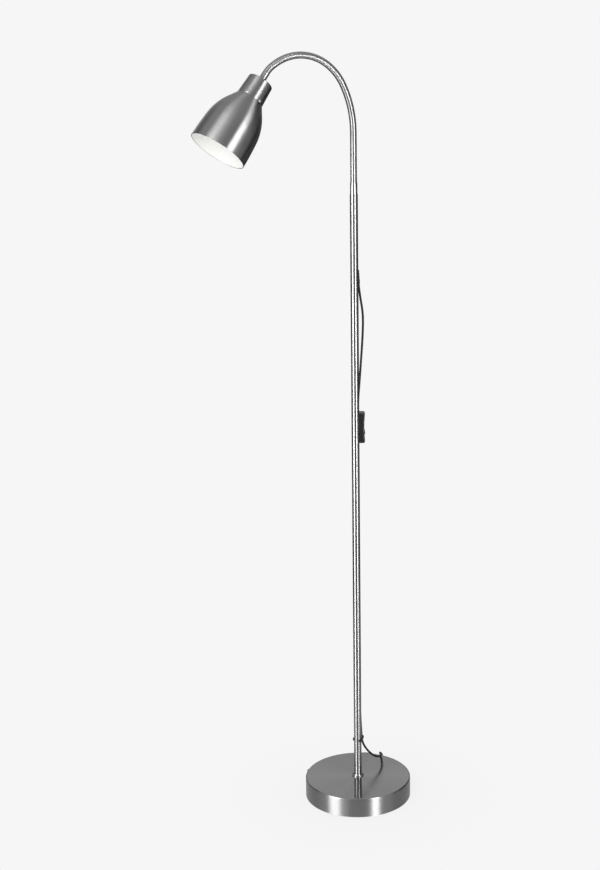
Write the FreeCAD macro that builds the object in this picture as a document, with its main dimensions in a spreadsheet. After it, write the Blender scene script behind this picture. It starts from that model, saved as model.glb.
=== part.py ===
import FreeCAD, Part
import Sketcher
import math
import os

from FreeCAD import Placement, Rotation, Vector

# A gooseneck reading floor lamp. Z is up, the origin is the middle of the base's underside, and the
# gooseneck arches in the XZ plane, so that the lamp head hangs over -X. All sizes are millimetres.

doc = FreeCAD.newDocument("reading_lamp")
sheet = doc.addObject("Spreadsheet::Sheet", "Sizes")
pieces = []


class Size:
    """A number together with the sheet expression that it comes from."""

    def __init__(self, value, text):
        self.value = value
        self.text = text

    def joined(self, other, sign, value, swapped=False):
        first, second = (as_size(other), self) if swapped else (self, as_size(other))
        return Size(value(first.value, second.value), "({} {} {})".format(first.text, sign, second.text))

    def __add__(self, other):
        return self.joined(other, "+", lambda a, b: a + b)

    def __radd__(self, other):
        return self.joined(other, "+", lambda a, b: a + b, True)

    def __sub__(self, other):
        return self.joined(other, "-", lambda a, b: a - b)

    def __rsub__(self, other):
        return self.joined(other, "-", lambda a, b: a - b, True)

    def __mul__(self, other):
        return self.joined(other, "*", lambda a, b: a * b)

    def __rmul__(self, other):
        return self.joined(other, "*", lambda a, b: a * b, True)

    def __truediv__(self, other):
        return self.joined(other, "/", lambda a, b: a / b)

    def __neg__(self):
        return self.joined(-1.0, "*", lambda a, b: a * b, True)

    def __float__(self):
        return self.value


def as_size(thing):
    return thing if isinstance(thing, Size) else Size(float(thing), "{:.6f}".format(float(thing)))


sheet_rows = []


def size(alias, number, meaning):
    """Write one driving dimension into the sheet and hand it back."""
    row = len(sheet_rows) + 1
    sheet_rows.append(alias)
    sheet.set("A{}".format(row), meaning)
    sheet.set("B{}".format(row), str(number))
    sheet.setAlias("B{}".format(row), alias)
    return Size(float(number), "Sizes." + alias)


# ---- ways of making a piece -------------------------------------------------------------------------


def bind(thing, prop, amount):
    """Set a property from the sheet, or from a plain number."""
    thing.setExpression(prop, as_size(amount).text)


def place(thing, x=0.0, y=0.0, z=0.0, turn=None):
    """Stand a piece at x, y, z, turned by a rotation."""
    point = Vector(float(as_size(x)), float(as_size(y)), float(as_size(z)))
    thing.Placement = Placement(point, turn or Rotation())
    for axis, amount in (("x", x), ("y", y), ("z", z)):
        if isinstance(amount, Size):
            bind(thing, "Placement.Base." + axis, amount)


def keep(thing, label):
    """Count a finished piece among the lamp's sub-parts."""
    thing.Label = label
    pieces.append(thing)
    return thing


def new_body(label):
    body = doc.addObject("PartDesign::Body", label)
    return keep(body, label)


def arc_middle(start, end, radius):
    """The point half way along an arc; a positive radius bulges to the right of the way from start to end."""
    across = end - start
    half = across.Length / 2
    rise = abs(radius) - math.sqrt(max(radius * radius - half * half, 0.0))
    side = Vector(across.y, -across.x, 0).normalize()
    return (start + end) * 0.5 + side * (rise if radius > 0 else -rise)


def outline(body, role, *loops):
    """Draw closed loops on one of the body's own planes. A corner is (x, y), or (x, y, radius) where an
    arc leaves it for the next corner; ("circle", x, y, radius) is a full circle."""
    sketch = body.newObject("Sketcher::SketchObject", "Outline")
    plane = next(one for one in body.Origin.OriginFeatures if one.Role == role)
    sketch.AttachmentSupport = (plane, [""])
    sketch.MapMode = "FlatFace"

    def distance(kind, edge, point, amount):
        amount = as_size(amount)
        number = sketch.addConstraint(Sketcher.Constraint(kind, -1, 1, edge, point, amount.value))
        sketch.setExpression("Constraints[{}]".format(number), amount.text)

    def radius_of(edge, amount):
        number = sketch.addConstraint(Sketcher.Constraint("Radius", edge, amount.value))
        sketch.setExpression("Constraints[{}]".format(number), amount.text)

    for loop in loops:
        if loop[0] == "circle":
            _, x, y, radius = [item if item == "circle" else as_size(item) for item in loop]
            edge = sketch.addGeometry(Part.Circle(Vector(x.value, y.value, 0), Vector(0, 0, 1), radius.value))
            distance("DistanceX", edge, 3, x)
            distance("DistanceY", edge, 3, y)
            radius_of(edge, radius)
            continue
        corners = [Vector(float(as_size(corner[0])), float(as_size(corner[1])), 0) for corner in loop]
        ends = []
        for step, corner in enumerate(loop):
            start, end = corners[step], corners[(step + 1) % len(loop)]
            if len(corner) == 2:
                edge = sketch.addGeometry(Part.LineSegment(start, end))
                ends.append((edge, 1, 2))
                continue
            middle = arc_middle(start, end, float(as_size(corner[2])))
            edge = sketch.addGeometry(Part.Arc(start, middle, end))
            ends.append((edge, 1, 2) if as_size(corner[2]).value > 0 else (edge, 2, 1))
        for step, corner in enumerate(loop):
            edge, first, last = ends[step]
            following, next_first, _ = ends[(step + 1) % len(loop)]
            sketch.addConstraint(Sketcher.Constraint("Coincident", edge, last, following, next_first))
            distance("DistanceX", edge, first, corner[0])
            distance("DistanceY", edge, first, corner[1])
            if len(corner) == 3:
                radius = as_size(corner[2])
                radius_of(edge, radius if radius.value > 0 else -radius)
    return sketch


def turned(label, *loops):
    """A piece turned about its own Z axis: each corner is (radius, height)."""
    body = new_body(label)
    sketch = outline(body, "XZ_Plane", *loops)
    turning = body.newObject("PartDesign::Revolution", "Turning")
    turning.Profile = sketch
    turning.ReferenceAxis = (sketch, ["V_Axis"])
    turning.Angle = 360.0
    return body


def ring(label, inner, outer, low, high):
    """A plain turned ring."""
    return turned(label, ((inner, low), (outer, low), (outer, high), (inner, high)))


def pad(body, sketch, length, midplane=False, reverse=False):
    growth = body.newObject("PartDesign::Pad", "Pad")
    growth.Profile = sketch
    bind(growth, "Length", length)
    growth.Midplane = midplane
    growth.Reversed = reverse
    return growth


def pocket(body, sketch, length=None, midplane=False, reverse=False):
    """Cut a sketch's loops out of the body; without a length it cuts right through."""
    doc.recompute()
    before = body.Shape.Volume
    cut = body.newObject("PartDesign::Pocket", "Pocket")
    cut.Profile = sketch
    if length is None:
        cut.Type = "ThroughAll"
    else:
        bind(cut, "Length", length)
    cut.Midplane = midplane
    cut.Reversed = reverse
    doc.recompute()
    if body.Shape.Volume >= before:
        raise RuntimeError(body.Label + ": a pocket cuts nothing")
    return cut


def rounded(body, radius, wanted):
    """Round the edges whose middle and direction the test accepts."""
    doc.recompute()
    base = body.Tip
    names = []
    for number, edge in enumerate(base.Shape.Edges, 1):
        middle = edge.valueAt((edge.FirstParameter + edge.LastParameter) / 2)
        way = edge.tangentAt((edge.FirstParameter + edge.LastParameter) / 2)
        if wanted(middle, way):
            names.append("Edge{}".format(number))
    fillet = body.newObject("PartDesign::Fillet", "Rounding")
    fillet.Base = (base, names)
    bind(fillet, "Radius", radius)
    return fillet


def made(label, shape, placement=None):
    """A piece whose solid is worked out by formula."""
    thing = keep(doc.addObject("Part::Feature", label), label)
    thing.Shape = shape
    thing.Placement = placement or Placement()
    return thing


def solid_of(shape):
    """The one solid in a boolean's result, with flush faces joined."""
    shape = shape.removeSplitter()
    return shape.Solids[0] if len(shape.Solids) == 1 else shape


def tube_along(wire, radius):
    """A round tube along a tangent-continuous wire."""
    edge = wire.OrderedEdges[0]
    start, way = edge.valueAt(edge.FirstParameter), edge.tangentAt(edge.FirstParameter)
    if edge.Orientation == "Reversed":
        start, way = edge.valueAt(edge.LastParameter), edge.tangentAt(edge.LastParameter) * -1
    section = Part.Wire([Part.makeCircle(radius, start, way)])
    return Part.Wire(wire.OrderedEdges).makePipeShell([section], True, False)


# ---- base -------------------------------------------------------------------------------------------

base_radius = size("base_radius", 91.4, "outer radius of the base cover")
base_height = size("base_height", 34.6, "floor to the top of the base cover")
base_wall = size("base_wall", 1.5, "sheet thickness of the base cover")
base_edge = size("base_edge", 2.6, "outer rounding of the cover's top edge")
base_lift = size("base_lift", 0.8, "gap between the floor and the cover's lower edge")
pad_thick = size("pad_thick", 2.0, "thickness of the felt pad")
weight_gap = size("weight_gap", 0.3, "clearance between the weight and the cover's wall")
recess_radius = size("recess_radius", 17.0, "radius of the recess for the nut under the weight")
recess_depth = size("recess_depth", 15.0, "depth of that recess")
stud_radius = size("stud_radius", 4.0, "radius of the threaded stud that holds the pole down")
stud_gap = size("stud_gap", 0.25, "clearance between the stud and its holes")
washer_radius = size("washer_radius", 12.0, "outer radius of the base washer")
washer_thick = size("washer_thick", 1.6, "thickness of the base washer")
nut_across = size("nut_across", 13.0, "base nut across its flats")
nut_height = size("nut_height", 6.5, "height of the base nut")
stud_tail = size("stud_tail", 2.5, "thread left showing below the base nut")

cover_under = base_height - base_wall
recess_top = pad_thick + recess_depth
base_inner = base_radius - base_wall
corner_inner = base_edge - base_wall
stud_hole = stud_radius + stud_gap

# The cover is a pressed cup with a rounded upper edge and a hole for the stud.
turned(
    "base_cover",
    (
        (base_radius, base_lift),
        (base_radius, base_height - base_edge, base_edge),
        (base_radius - base_edge, base_height),
        (stud_hole, base_height),
        (stud_hole, cover_under),
        (base_inner - corner_inner, cover_under, -corner_inner),
        (base_inner, cover_under - corner_inner),
        (base_inner, base_lift),
    ),
)

# The weight is a cast disc that fills the cover and has a recess for the nut from below.
weight_radius = base_inner - weight_gap
weight_chamfer = size("weight_chamfer", 1.6, "chamfer of the weight's upper edge")
turned(
    "base_weight",
    (
        (stud_hole, recess_top),
        (recess_radius, recess_top),
        (recess_radius, pad_thick),
        (weight_radius, pad_thick),
        (weight_radius, cover_under - weight_chamfer),
        (weight_radius - weight_chamfer, cover_under),
        (stud_hole, cover_under),
    ),
)

pad_margin = size("pad_margin", 1.0, "felt pad's edge inside the cover's wall")
ring("base_pad", 0.0, base_inner - pad_margin, 0.0, pad_thick)
ring("base_washer", stud_hole, washer_radius, recess_top - washer_thick, recess_top)

nut_top = recess_top - washer_thick


def hex_nut(label, across, bore, height):
    """A hexagon nut standing on its own origin."""
    body = new_body(label)
    corner = across / math.sqrt(3.0)
    side = across / 2
    corners = (
        (corner, 0.0),
        (corner / 2, side),
        (-corner / 2, side),
        (-corner, 0.0),
        (-corner / 2, -side),
        (corner / 2, -side),
    )
    pad(body, outline(body, "XY_Plane", corners, ("circle", 0.0, 0.0, bore)), height)
    return body


thread_gap = size("thread_gap", 0.05, "clearance of a screwed or pressed fit")
base_nut = hex_nut("base_nut", nut_across, stud_radius + thread_gap, nut_height)
place(base_nut, z=nut_top - nut_height)

# ---- pole -------------------------------------------------------------------------------------------

pole_radius = size("pole_radius", 6.5, "outer radius of the pole")
pole_wall = size("pole_wall", 1.0, "wall of the pole")
pole_top = size("pole_top", 1047.3, "floor to the pole's upper end")
insert_length = size("insert_length", 30.0, "length of the tapped insert in the pole's foot")
collar_radius = size("collar_radius", 10.3, "radius of the collar at the pole's foot")
collar_rim = size("collar_rim", 1.2, "height of the collar's rim")
collar_height = size("collar_height", 3.8, "height of the collar")
collar_neck = size("collar_neck", 0.9, "wall of the collar at its top")
collar_flare = size("collar_flare", 5.0, "radius of the collar's hollow flare")
slip_gap = size("slip_gap", 0.1, "clearance round the pole where a ring slips over it")
pole_bore = pole_radius - pole_wall

turned(
    "pole_stud",
    (
        (0.0, nut_top - nut_height - stud_tail),
        (stud_radius, nut_top - nut_height - stud_tail),
        (stud_radius, base_height + insert_length),
        (0.0, base_height + insert_length),
    ),
)
ring("pole_insert", stud_radius + thread_gap, pole_bore - thread_gap, base_height, base_height + insert_length)
turned(
    "pole_collar",
    (
        (pole_radius + slip_gap, base_height),
        (collar_radius, base_height),
        (collar_radius, base_height + collar_rim, -collar_flare),
        (pole_radius + slip_gap + collar_neck, base_height + collar_height),
        (pole_radius + slip_gap, base_height + collar_height),
    ),
)

exit_turn = size("exit_turn", 15.0, "angle round the pole from +X to the cord's exit, degrees")
exit_height = size("exit_height", 920.0, "floor to the middle of the cord's exit hole")
exit_radius = size("exit_radius", 3.0, "radius of the cord's exit hole")
exit_turning = Rotation(Vector(0, 0, 1), exit_turn.value)

pole_tube = ring("pole_tube", pole_bore, pole_radius, base_height, pole_top)
pocket(
    pole_tube,
    outline(pole_tube, "YZ_Plane", ("circle", 0.0, exit_height, exit_radius)),
    pole_radius * 2,
    reverse=True,
)
place(pole_tube, turn=exit_turning)

# ---- gooseneck --------------------------------------------------------------------------------------
# The hose rises straight out of the pole, leans over in a wide arc, hooks over in a tighter one and ends
# in a short bend where the weight of the lamp head pulls on it.

hose_straight = size("hose_straight", 77.8, "straight stretch at the foot of the gooseneck")
first_radius = size("first_radius", 155.4, "radius of the gooseneck's first arc")
first_turn = size("first_turn", 28.5, "turn of the first arc, degrees")
second_radius = size("second_radius", 89.2, "radius of the gooseneck's second arc")
second_turn = size("second_turn", 98.5, "turn of the second arc, degrees")
third_radius = size("third_radius", 40.0, "radius of the gooseneck's last bend")
third_turn = size("third_turn", 15.0, "turn of the last bend, degrees")
hose_radius = size("hose_radius", 5.4, "radius over the gooseneck's ribs")
rib_depth = size("rib_depth", 0.55, "depth of the groove between two ribs")
rib_count = size("rib_count", 16, "ribs on one stretch of the gooseneck")
hose_bore = size("hose_bore", 2.6, "bore radius of the gooseneck")
stretch_count = 9
ball_radius = size("ball_radius", 4.3, "radius of the ball between two stretches")
ball_neck = size("ball_neck", 3.8, "radius of the neck that carries the ball")
cup_gap = size("cup_gap", 0.2, "clearance of the ball in its cup")
cup_rim = size("cup_rim", 0.5, "cup's rim above the ball's middle")
swing = size("swing", 24.0, "largest swing at one ball, degrees")
rim_gap = size("rim_gap", 0.35, "clearance under the cup's rim at that swing")
spigot_radius = size("spigot_radius", 4.4, "radius of the hose's ends inside the ferrules")
spigot_length = size("spigot_length", 12.0, "length of those ends")

ferrule_radius = size("ferrule_radius", 5.9, "radius of the lower ferrule")
ferrule_height = size("ferrule_height", 19.1, "lower ferrule's height over the pole")
ferrule_tail = size("ferrule_tail", 20.0, "lower ferrule's length inside the pole")
ferrule_chamfer = size("ferrule_chamfer", 0.5, "chamfer of the ferrules' visible ends")
hose_foot = pole_top + ferrule_height

turned(
    "pole_ferrule",
    (
        (hose_bore, pole_top - ferrule_tail),
        (pole_bore - thread_gap, pole_top - ferrule_tail),
        (pole_bore - thread_gap, pole_top),
        (ferrule_radius, pole_top),
        (ferrule_radius, hose_foot - ferrule_chamfer),
        (ferrule_radius - ferrule_chamfer, hose_foot),
        (spigot_radius + thread_gap, hose_foot),
        (spigot_radius + thread_gap, hose_foot - spigot_length),
        (hose_bore, hose_foot - spigot_length),
    ),
)

hose_arcs = (
    (first_radius.value, math.radians(first_turn.value)),
    (second_radius.value, math.radians(second_turn.value)),
    (third_radius.value, math.radians(third_turn.value)),
)
hose_length = hose_straight.value + sum(radius * turn for radius, turn in hose_arcs)


def hose_at(along):
    """The point and the upward direction of the gooseneck's middle line at a length from its foot."""
    point = Vector(0, 0, hose_foot.value)
    way = Vector(0, 0, 1)
    step = min(along, hose_straight.value)
    point, along = point + way * step, along - step
    lean = 0.0
    for radius, turn in hose_arcs:
        if along <= 0:
            break
        angle = min(along / radius, turn)
        reach = math.cos(lean + angle) - math.cos(lean)
        rise = math.sin(lean + angle) - math.sin(lean)
        point = point + Vector(reach, 0, rise) * radius
        lean += angle
        along -= radius * angle
    way = Vector(-math.sin(lean), 0, math.cos(lean))
    return point + way * max(along, 0.0), way


def steady_circle(along, radius):
    """A circle square to the middle line, its own X axis always along Y."""
    point, way = hose_at(along)
    circle = Part.Circle(Vector(0, 0, 0), Vector(0, 0, 1), radius).toShape()
    circle.Placement = Placement(point, Rotation(Vector(0, 1, 0), Vector(0, 0, 0), way, "ZXY"))
    return Part.Wire([circle])


def rod_at(along, start, end, radius):
    """A straight round rod on the tangent at a length, between two offsets from it."""
    point, way = hose_at(along)
    return Part.makeCylinder(radius, end - start, point + way * start, way)


def hose_stretch(label, low, high, first, last):
    """One stretch of ribbed hose between two balls, with its bore."""
    shoulder = hose_radius.value * math.sin(math.radians(swing.value)) + rim_gap.value
    start = low if first else low + cup_rim.value
    end = high if last else high - shoulder
    pitch = (end - start) / rib_count.value
    crest, groove = hose_radius.value, hose_radius.value - rib_depth.value
    sections = []
    for rib in range(int(rib_count.value)):
        foot = start + rib * pitch
        sections += [
            steady_circle(foot, crest),
            steady_circle(foot + 0.40 * pitch, crest),
            steady_circle(foot + 0.55 * pitch, groove),
            steady_circle(foot + 0.85 * pitch, groove),
        ]
    sections.append(steady_circle(end, crest))
    solid = Part.makeLoft(sections, True, True)
    if first:
        solid = solid.fuse(rod_at(low, -spigot_length.value, 0.2, spigot_radius.value))
    else:
        point, _ = hose_at(low)
        solid = solid.cut(Part.makeSphere(ball_radius.value + cup_gap.value, point))
    if last:
        solid = solid.fuse(rod_at(high, -0.2, spigot_length.value, spigot_radius.value))
    else:
        point, _ = hose_at(high)
        solid = solid.fuse(rod_at(high, -shoulder - 0.2, -ball_radius.value / 4, ball_neck.value))
        solid = solid.fuse(Part.makeSphere(ball_radius.value, point))
    bore_low = low - spigot_length.value - 1 if first else low
    bore_high = high + (spigot_length.value + 1 if last else ball_radius.value + 0.5)
    steps = 10
    bore = []
    for step in range(steps + 1):
        bore.append(steady_circle(bore_low + (bore_high - bore_low) * step / steps, hose_bore.value))
    solid = solid.cut(Part.makeLoft(bore, True, True))
    return made(label, solid_of(solid))


hinge_spacing = hose_length / stretch_count
for number in range(stretch_count):
    hose_stretch(
        "gooseneck_{}".format(number + 1),
        number * hinge_spacing,
        (number + 1) * hinge_spacing,
        number == 0,
        number == stretch_count - 1,
    )

# ---- lamp head --------------------------------------------------------------------------------------
# The head's own frame has its origin in the middle of the neck's top, and its +Z looks out of the mouth.

upper_ferrule = size("upper_ferrule", 16.0, "length of the ferrule above the lamp head")
upper_radius = size("upper_radius", 5.6, "radius of that ferrule")
nipple_radius = size("nipple_radius", 5.0, "radius of the thread below it")
nipple_length = size("nipple_length", 9.0, "length of the thread below it")
shade_wall = size("shade_wall", 1.2, "sheet thickness of the shade")
neck_radius = size("neck_radius", 20.1, "radius of the shade's neck at its top")
neck_round = size("neck_round", 2.0, "rounding of the neck's top edge")
neck_foot = size("neck_foot", 21.7, "radius of the neck where the shoulder starts")
neck_length = size("neck_length", 33.5, "length of the neck")
shoulder_radius = size("shoulder_radius", 31.9, "radius where the shoulder's cone turns into its dome")
shoulder_depth = size("shoulder_depth", 50.0, "depth of that place below the neck's top")
dome_radius = size("dome_radius", 43.9, "radius where the dome turns into the skirt")
dome_depth = size("dome_depth", 88.0, "depth of that place")
dome_curve = size("dome_curve", 88.0, "radius of the dome's outline")
mouth_radius = size("mouth_radius", 45.9, "radius of the shade's mouth")
shade_length = size("shade_length", 127.7, "length of the shade, top to mouth")
skirt_curve = size("skirt_curve", 440.0, "radius of the skirt's outline")

hose_end, hose_way = hose_at(hose_length)
head_frame = Placement(hose_end + hose_way * upper_ferrule.value, Rotation(Vector(0, 0, 1), hose_way))


def head_piece(label, *corners):
    """A turned piece of the lamp head: each corner is (radius, depth below the neck's top)."""
    body = turned(label, corners)
    body.Placement = head_frame
    return body


head_piece(
    "upper_ferrule",
    (hose_bore, nipple_length),
    (hose_bore, -upper_ferrule + spigot_length),
    (spigot_radius + thread_gap, -upper_ferrule + spigot_length),
    (spigot_radius + thread_gap, -upper_ferrule),
    (upper_radius - ferrule_chamfer, -upper_ferrule),
    (upper_radius, -upper_ferrule + ferrule_chamfer),
    (upper_radius, 0.0),
    (nipple_radius, 0.0),
    (nipple_radius, nipple_length),
)

# The shade is spun from sheet: a neck, a cone-shaped shoulder, a dome and a nearly straight skirt.
nipple_hole = nipple_radius + stud_gap
shade = head_piece(
    "shade",
    (nipple_hole, 0.0),
    (neck_radius - neck_round, 0.0, neck_round),
    (neck_radius, neck_round),
    (neck_foot, neck_length),
    (shoulder_radius, shoulder_depth, dome_curve),
    (dome_radius, dome_depth, skirt_curve),
    (mouth_radius, shade_length),
    (mouth_radius - shade_wall, shade_length, -skirt_curve),
    (dome_radius - shade_wall, dome_depth, -dome_curve),
    (shoulder_radius - shade_wall, shoulder_depth),
    (neck_foot - shade_wall, neck_length),
    (neck_radius - shade_wall, neck_round + shade_wall),
    (neck_radius - neck_round - shade_wall, shade_wall),
    (nipple_hole, shade_wall),
)

# Two pairs of small screws through the foot of the neck hold the bracket of the lampholder.
screw_depth = size("screw_depth", 31.4, "depth of the shade's screws below the neck's top")
screw_side = size("screw_side", -70.0, "direction between the two screws of one pair, degrees")
screw_spread = size("screw_spread", 35.0, "angle from there to each screw of the pair, degrees")
screw_shank = size("screw_shank", 1.5, "radius of a shade screw's shank")
screw_head = size("screw_head", 2.3, "radius of a shade screw's head")
screw_head_height = size("screw_head_height", 1.3, "height of a shade screw's head")
screw_length = size("screw_length", 4.6, "length of a shade screw's shank")
bracket_gap = size("bracket_gap", 0.35, "clearance between the bracket and the neck")
bracket_wall = size("bracket_wall", 2.4, "wall of the bracket")
bracket_height = size("bracket_height", 8.0, "height of the bracket")
holder_radius = size("holder_radius", 14.0, "radius of the lampholder")
holder_flange = size("holder_flange", 16.4, "radius of the lampholder's flange")
flange_thick = size("flange_thick", 2.0, "thickness of the lampholder's flange")
holder_top = size("holder_top", 13.0, "depth of the lampholder's top")
holder_end = size("holder_end", 49.4, "depth of the lampholder's open end")
socket_radius = size("socket_radius", 7.3, "radius of the lampholder's socket")
socket_floor = size("socket_floor", 22.0, "depth of the socket's floor")

screw_turns = [
    screw_side.value + pair * 180.0 + sign * screw_spread.value for pair in (0, 1) for sign in (-1, 1)
]
neck_at_screw = neck_radius.value + (neck_foot.value - neck_radius.value) * (
    (screw_depth.value - neck_round.value) / (neck_length.value - neck_round.value)
)


def ring_of_rods(radius, start, end):
    """Four rods that point outward at the places of the shade's screws, in the head's frame."""
    rods = []
    for turn in screw_turns:
        way = Rotation(Vector(0, 0, 1), turn).multVec(Vector(1, 0, 0))
        rods.append(Part.makeCylinder(radius, end - start, way * start + Vector(0, 0, screw_depth.value), way))
    return rods


screws = []
inner_end = neck_at_screw + 0.05 - screw_length.value
for shank, head in zip(
    ring_of_rods(screw_shank.value, inner_end, neck_at_screw + 0.1),
    ring_of_rods(screw_head.value, neck_at_screw + 0.05, neck_at_screw + 0.05 + screw_head_height.value),
):
    rim = [edge for edge in head.Edges if edge.Length > 1.9 * math.pi * screw_head.value]
    far = max(rim, key=lambda edge: Vector(edge.CenterOfMass.x, edge.CenterOfMass.y, 0).Length)
    screws.append(head.makeFillet(screw_head_height.value * 0.6, [far]).fuse(shank).removeSplitter())
made("shade_screws", Part.makeCompound(screws), head_frame)

# The screw holes go through the shade's wall, and a shallow flat under each head lets it sit down.
hole_tools = ring_of_rods(screw_shank.value + slip_gap.value, inner_end - 4, neck_at_screw + 4)
seat_tools = ring_of_rods(screw_head.value + slip_gap.value, neck_at_screw + 0.05, neck_at_screw + 4)


def cut_piece(body, label, tools):
    """The body with round holes through it, as a piece of its own under the body's name."""
    doc.recompute()
    pieces.remove(body)
    body.Label = label + "_blank"
    shape = body.Shape.copy()
    shape.Placement = Placement()
    for tool in tools:
        shape = shape.cut(tool)
    return made(label, solid_of(shape), body.Placement)


cut_piece(shade, "shade", hole_tools + seat_tools)

bracket_outer = neck_radius - shade_wall - bracket_gap
bracket_low = screw_depth - bracket_height / 2
bracket_web = bracket_low + bracket_wall
bracket = head_piece(
    "lampholder_bracket",
    (holder_radius + slip_gap, bracket_low),
    (bracket_outer, bracket_low),
    (bracket_outer + 1.0, bracket_low + bracket_height),
    (bracket_outer + 1.0 - bracket_wall, bracket_low + bracket_height),
    (bracket_outer + 0.4 - bracket_wall, bracket_web),
    (holder_radius + slip_gap, bracket_web),
)
cut_piece(bracket, "lampholder_bracket", ring_of_rods(screw_shank.value + thread_gap.value, 10, neck_at_screw))

head_piece(
    "lampholder",
    (0.0, holder_top),
    (holder_radius - 2.0, holder_top),
    (holder_radius, holder_top + 2.0),
    (holder_radius, bracket_low - flange_thick),
    (holder_flange, bracket_low - flange_thick),
    (holder_flange, bracket_low),
    (holder_radius, bracket_low),
    (holder_radius, holder_end),
    (socket_radius, holder_end),
    (socket_radius, socket_floor),
    (0.0, socket_floor),
)

contact_radius = size("contact_radius", 5.5, "radius of the lampholder's contact")
contact_thick = size("contact_thick", 0.8, "thickness of that contact")
contact_rise = size("contact_rise", 2.0, "height of its raised tip")
tip_radius = size("tip_radius", 2.6, "radius of the raised tip and of the bulb's own contact")
head_piece(
    "lampholder_contact",
    (0.0, socket_floor),
    (contact_radius, socket_floor),
    (contact_radius, socket_floor + contact_thick),
    (tip_radius, socket_floor + contact_thick),
    (tip_radius - 0.6, socket_floor + contact_rise),
    (0.0, socket_floor + contact_rise),
)

cap_radius = size("cap_radius", 6.95, "radius of the bulb's screw cap")
cap_end = size("cap_end", 50.2, "depth where the cap meets the bulb's glass")
bulb_neck = size("bulb_neck", 9.5, "radius of the bulb's collar")
bulb_radius = size("bulb_radius", 22.5, "radius of the bulb's globe")
bulb_end = size("bulb_end", 99.0, "depth of the bulb's lowest point")
cap_top = socket_floor + contact_rise
head_piece(
    "bulb_cap",
    (0.0, cap_top),
    (tip_radius, cap_top),
    (tip_radius, cap_top + 1.0),
    (cap_radius - 1.4, cap_top + 2.2),
    (cap_radius, cap_top + 3.6),
    (cap_radius, cap_end),
    (0.0, cap_end),
)
globe_middle = bulb_end - bulb_radius
globe_start = globe_middle.value - math.sqrt(bulb_radius.value ** 2 - (0.72 * bulb_radius.value) ** 2)
head_piece(
    "bulb_globe",
    (0.0, cap_end),
    (bulb_neck, cap_end),
    (bulb_radius * 0.72, globe_start, bulb_radius),
    (bulb_radius, globe_middle, bulb_radius),
    (0.0, bulb_end),
)

nut_plate = size("nut_plate", 4.0, "height of the nut inside the neck")
nut_wide = size("nut_wide", 14.0, "that nut across its flats")
shade_nut = hex_nut("shade_nut", nut_wide, nipple_radius + thread_gap, nut_plate)
shade_nut.Placement = head_frame.multiply(Placement(Vector(0, 0, shade_wall.value), Rotation()))

# ---- the side where the cord runs -------------------------------------------------------------------
# Cord, switch, clip and coil are laid out in a frame turned round the pole: "right" and "back" are level,
# and back points away from the side on which the lamp is looked at.

side_turn = size("side_turn", -34.0, "turn of that frame round the pole, degrees")
side_turning = Rotation(Vector(0, 0, 1), side_turn.value)


def behind(right, back, height):
    return side_turning.multVec(Vector(right, back, height))


def side_frame(right, back, height, turn=0.0):
    return Placement(behind(right, back, height), Rotation(Vector(0, 0, 1), side_turn.value + turn))


# ---- cord exit --------------------------------------------------------------------------------------

cord_radius = size("cord_radius", 1.8, "radius of the mains cord")
relief_top = size("relief_top", 3.3, "radius of the exit's strain relief at its top")
relief_tip = size("relief_tip", 2.6, "radius of the strain relief where the cord leaves it")
relief_start = (6.9, 924.0)
relief_stop = (10.2, 902.0)
relief_plug = size("relief_plug", 2.1, "length of the relief's plug inside the pole")

relief_from = Vector(relief_start[0], 0, relief_start[1])
relief_to = Vector(relief_stop[0], 0, relief_stop[1])
relief_way = relief_to - relief_from
relief = Part.makeCone(relief_top.value, relief_tip.value, relief_way.Length, relief_from, relief_way)
relief = relief.fuse(Part.makeSphere(relief_top.value, relief_from))
relief = relief.cut(Part.makeCylinder(pole_radius.value, 60, Vector(0, 0, exit_height.value - 30)))
plug_start = pole_bore.value - relief_plug.value
plug_rod = Part.makeCylinder(
    exit_radius.value - thread_gap.value,
    pole_radius.value + 1.0 - plug_start,
    Vector(plug_start, 0, exit_height.value),
    Vector(1, 0, 0),
)
made("cord_exit_relief", solid_of(relief.fuse(plug_rod)), Placement(Vector(), exit_turning))

# ---- cord switch ------------------------------------------------------------------------------------
# A rocker switch in the cord. Its frame lies on the parting line of its two shells, +X out of the rocker.

switch_length = size("switch_length", 51.0, "length of the switch")
switch_width = size("switch_width", 20.0, "width of the switch")
switch_front = size("switch_front", 11.4, "parting line to the upper shell's ends")
switch_back = size("switch_back", 5.6, "parting line to the back of the lower shell")
switch_waist = size("switch_waist", 1.1, "depth of the upper shell's hollow outline")
switch_corner = size("switch_corner", 3.0, "corner radius of the upper shell, seen from the side")
switch_edge = size("switch_edge", 1.4, "rounding of the shells' long edges")
cell_length = size("cell_length", 30.0, "length of the hollow in the switch")
cell_width = size("cell_width", 16.0, "width of the hollow in the switch")
cell_front = size("cell_front", 8.6, "depth of the hollow in the upper shell")
cell_back = size("cell_back", 3.8, "depth of the hollow in the lower shell")
window_length = size("window_length", 24.0, "length of the rocker's window")
window_width = size("window_width", 12.4, "width of the rocker's window")
rocker_gap = size("rocker_gap", 0.35, "clearance round the rocker")
pivot_height = size("pivot_height", 6.6, "parting line to the rocker's pivot")
pin_radius = size("pin_radius", 1.2, "radius of the rocker's pin")
pin_length = size("pin_length", 18.0, "length of the rocker's pin")
pin_gap = size("pin_gap", 0.05, "running clearance of the rocker on its pin")
rocker_dip = size("rocker_dip", 3.3, "pivot to the lowest point of the rocker's face")
rocker_slope = size("rocker_slope", 5.0, "slope of each half of the rocker's face, degrees")
case_screw = size("case_screw", 1.3, "radius of the two case screws")
case_screw_place = size("case_screw_place", 19.5, "middle of the switch to each case screw")
case_screw_head = size("case_screw_head", 2.5, "head radius of a case screw")
case_screw_sink = size("case_screw_sink", 1.6, "depth of the recess for a case screw's head")

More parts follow.
